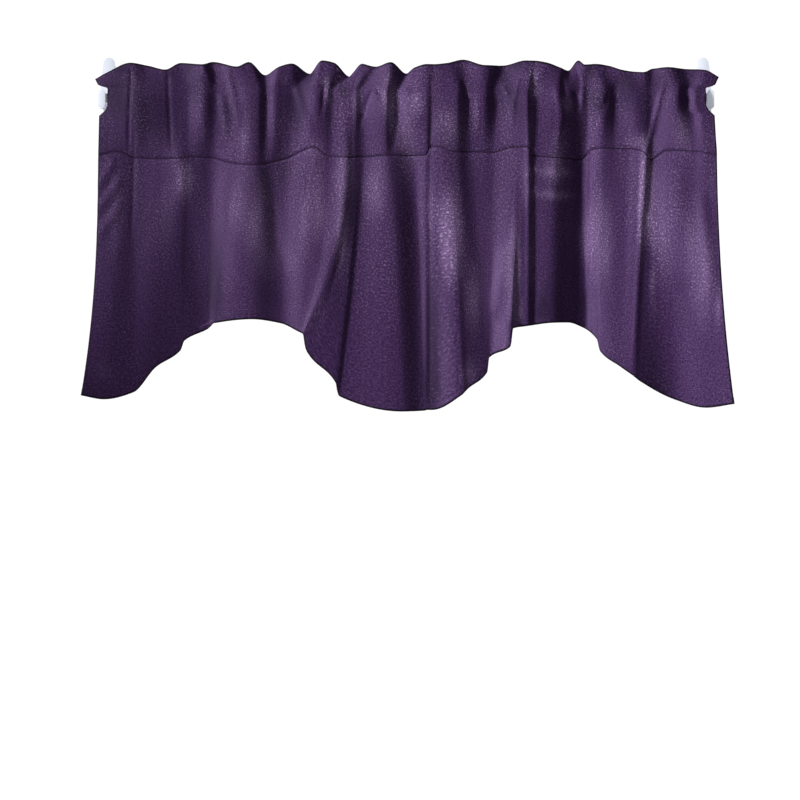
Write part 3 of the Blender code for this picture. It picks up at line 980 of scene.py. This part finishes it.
def valance(thread_finish):
    """The satin in its folds, with its stitches."""
    hanging = Hanging(SHEET_COLUMNS)
    rows = np.stack(hanging.rows())
    points, normals = pressed(rows, hanging.seam_z)
    down = reached(np.linalg.norm(np.diff(rows, axis=0), axis=2).mean(axis=1))
    # Lines across the cloth with painted shade along them: the hem's edge, the lower seam and the
    # top edge
    lines = (
        (down[hanging.hem_edge], HEM_EDGE),
        (down[hanging.seam_line], SEAM_EDGE),
        (down[hanging.top_line], TOP_EDGE),
    )
    mesh = hung_grid(points, hanging.width, down, painted_sheen_and_shade_at(points, normals))
    sheet = put("valance_sheet", mesh, satin(hanging.width, lines))
    thick = sheet.modifiers.new("Cloth thickness", "SOLIDIFY")
    thick.thickness = SHEET_THICK
    thick.offset = 0
    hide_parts("valance_cloth")
    sewn = [
        stitches("seam_stitches", points, normals, hanging.seam_line, thread_finish),
        stitches("hem_stitches", points, normals, hanging.hem_line, thread_finish),
    ]


def stitches(name, points, normals, line, finish):
    """Machine stitches that lie along one row of the sheet."""
    path = points[line] + normals[line] * (SHEET_THICK / 2 + THREAD_RADIUS / 2)
    along = reached(np.linalg.norm(np.diff(path, axis=0), axis=1))
    count = int(along[-1] / STITCH_PITCH)
    solid = bmesh.new()
    for number in range(count):
        middle = (number + 0.5) * along[-1] / count
        ends = []
        for place in (middle - STITCH_LENGTH / 2, middle + STITCH_LENGTH / 2):
            ends.append(in_frame([np.interp(place, along, values) for values in path.T]))
        run = ends[1] - ends[0]
        turn = run.to_track_quat("X", "Z").to_matrix().to_4x4()
        size = Matrix.Diagonal((run.length / 2, THREAD_RADIUS, THREAD_RADIUS, 1))
        centre = Matrix.Translation((ends[0] + ends[1]) / 2)
        bmesh.ops.create_icosphere(solid, subdivisions=1, radius=1, matrix=centre @ turn @ size)
    item = put(name, smooth_mesh(name, solid), finish)
    return item


def rounded(solid, edges, width, clamp=False):
    bmesh.ops.bevel(
        solid, geom=edges, offset=width, segments=EDGE_STEPS, profile=0.5, affect="EDGES",
        material=-1, clamp_overlap=clamp,
    )


def rod(finish):
    """The painted rod, a cylinder with rounded rims."""
    low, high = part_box("rod")
    solid = bmesh.new()
    bmesh.ops.create_cone(
        solid, cap_ends=True, segments=ROD_SEGMENTS, radius1=ROD_RADIUS, radius2=ROD_RADIUS,
        depth=high.x - low.x,
        matrix=Matrix.Translation((low + high) / 2) @ Matrix.Rotation(math.pi / 2, 4, "Y"),
    )
    rims = [
        edge for edge in solid.edges
        if any(len(face.verts) > 4 for face in edge.link_faces)
    ]
    rounded(solid, rims, ROD_EDGE)
    tube = put("rod_tube", smooth_mesh("rod_tube", solid), finish)
    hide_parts("rod")


def hook(node, finish):
    """A moulded hook: the solid's own shape, its flat sides made whole and its edges rounded."""
    solid = bmesh.new()
    solid.from_mesh(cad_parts[node].data)
    bmesh.ops.remove_doubles(solid, verts=solid.verts, dist=SAME_POINT)
    bmesh.ops.dissolve_limit(solid, angle_limit=SAME_PLANE, verts=solid.verts, edges=solid.edges)
    sharp = [
        edge for edge in solid.edges
        if edge.is_manifold and edge.calc_face_angle(0) > SHARP_EDGE
    ]
    rounded(solid, sharp, HOOK_EDGE, clamp=True)
    mesh = smooth_mesh(node + "_moulding", solid)
    mesh.set_sharp_from_angle(angle=SHADE_EDGE)
    item = put(node + "_moulding", mesh, finish)
    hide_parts(node)


def area_light(name, place, aside, size, power, spread):
    data = bpy.data.lights.new(name, "AREA")
    data.shape = "RECTANGLE"
    data.size, data.size_y = size
    data.energy = power
    data.spread = math.radians(spread)
    lamp = bpy.data.objects.new(name, data)
    lamp.location = place
    aim = VIEW_CENTRE + Vector((aside, -CLOTH_OUT, CLOTH_RISE))
    lamp.rotation_euler = (aim - Vector(place)).to_track_quat("-Z", "Y").to_euler()
    lamp.visible_camera = False
    bpy.context.scene.collection.objects.link(lamp)


def surround():
    """A white world that is bright where the camera sees it and gives little light itself."""
    world = bpy.data.worlds.new("studio")
    bpy.context.scene.world = world
    world.use_nodes = True
    tree = world.node_tree
    background = tree.nodes["Background"]
    background.inputs["Color"].default_value = WHITE
    seen = tree.nodes.new("ShaderNodeLightPath")
    strength = tree.nodes.new("ShaderNodeMapRange")
    tree.links.new(seen.outputs["Is Camera Ray"], strength.inputs["Value"])
    strength.inputs["To Min"].default_value = SURROUND_LIGHT
    strength.inputs["To Max"].default_value = SURROUND_SEEN
    tree.links.new(strength.outputs["Result"], background.inputs["Strength"])


def floor():
    disc = bmesh.new()
    bmesh.ops.create_circle(disc, cap_ends=True, segments=FLOOR_SEGMENTS, radius=FLOOR_RADIUS)
    bmesh.ops.translate(disc, verts=disc.verts, vec=(VIEW_CENTRE.x, 0, FLOOR_HEIGHT))
    mesh = smooth_mesh("floor", disc)
    mesh.materials.append(stage_white())
    item = bpy.data.objects.new("floor", mesh)
    bpy.context.scene.collection.objects.link(item)


def camera():
    data = bpy.data.cameras.new("camera")
    data.sensor_width = SENSOR
    data.lens = SENSOR * CAMERA_DISTANCE / (PHOTO_SIDE * REAL_PER_PIXEL)
    data.dof.use_dof = False
    item = bpy.data.objects.new("camera", data)
    item.location = VIEW_CENTRE + Vector((0, -CLOTH_OUT - CAMERA_DISTANCE, 0))
    item.rotation_euler = (math.pi / 2, 0, 0)
    bpy.context.scene.collection.objects.link(item)
    bpy.context.scene.camera = item


bpy.context.scene.view_settings.view_transform = "Standard"
camera()
for light, values in LIGHTS.items():
    area_light(light, **dict(zip(LIGHT_NAMES, values)))
surround()
floor()
plastic = white_plastic()
valance(thread())
rod(white_paint())
hook("hook_left", plastic)
hook("hook_right", plastic)
